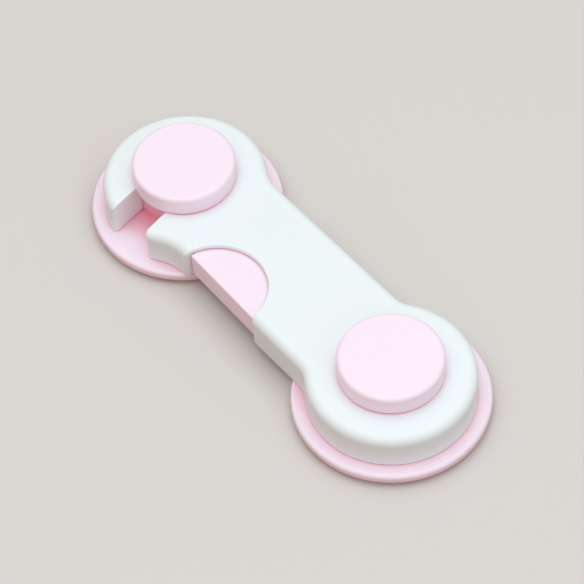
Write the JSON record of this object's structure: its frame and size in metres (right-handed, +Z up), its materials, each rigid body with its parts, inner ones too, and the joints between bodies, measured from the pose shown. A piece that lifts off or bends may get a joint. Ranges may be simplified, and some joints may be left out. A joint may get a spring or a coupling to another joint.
{
  "type": "cabinet safety lock",
  "caption": "Stick-on cabinet safety lock: a white dumbbell arm pivots on one pink base and hooks over a post on the other, held by a sprung half-moon release button.",
  "frame": {"origin": "midway between the pivot axis and the catch axis, on the mounting plane under the liners", "axes": "+X from the catch to the pivot along the arm, +Y toward the plain side of the arm away from the half-moon button, +Z up out of the mounting surface"},
  "size_m": [0.1054, 0.04, 0.0158],
  "materials": {
    "pink_plastic": "satin moulded plastic",
    "white_plastic": "satin moulded plastic",
    "steel": "plain zinc-plated",
    "foam": "matt closed-cell foam tape",
    "liner_paper": "waxed paper"
  },
  "bodies": {
    "bases": {"pivot_base": "pink_plastic", "pivot_cap": "pink_plastic", "pivot_cap_screw": "steel", "pivot_foam_pad": "foam", "pivot_release_liner": "liner_paper", "catch_base": "pink_plastic", "catch_cap": "pink_plastic", "catch_cap_screw": "steel", "catch_foam_pad": "foam", "catch_release_liner": "liner_paper"},
    "arm": {"arm_shell": "white_plastic", "arm_back_plate": "white_plastic", "back_plate_screws": "steel", "lever_pin": "steel", "return_spring": "steel"},
    "lever": {"release_lever": "pink_plastic"}
  },
  "joints": [
    {"name": "arm_swing", "type": "hinge", "parent": "bases", "child": "arm", "pos_m": [0.0327, 0, 0.0073], "axis": [0, 0, -1], "range_deg": [0, 335]},
    {"name": "lever_press", "type": "hinge", "parent": "arm", "child": "lever", "pos_m": [-0.0295, 0.011, 0.0069], "axis": [0, 0, 1], "range_deg": [0, 7.6], "stiffness_Nm_per_rad": 0.4, "springref_deg": -8.59, "deforming": ["return_spring"]}
  ]
}
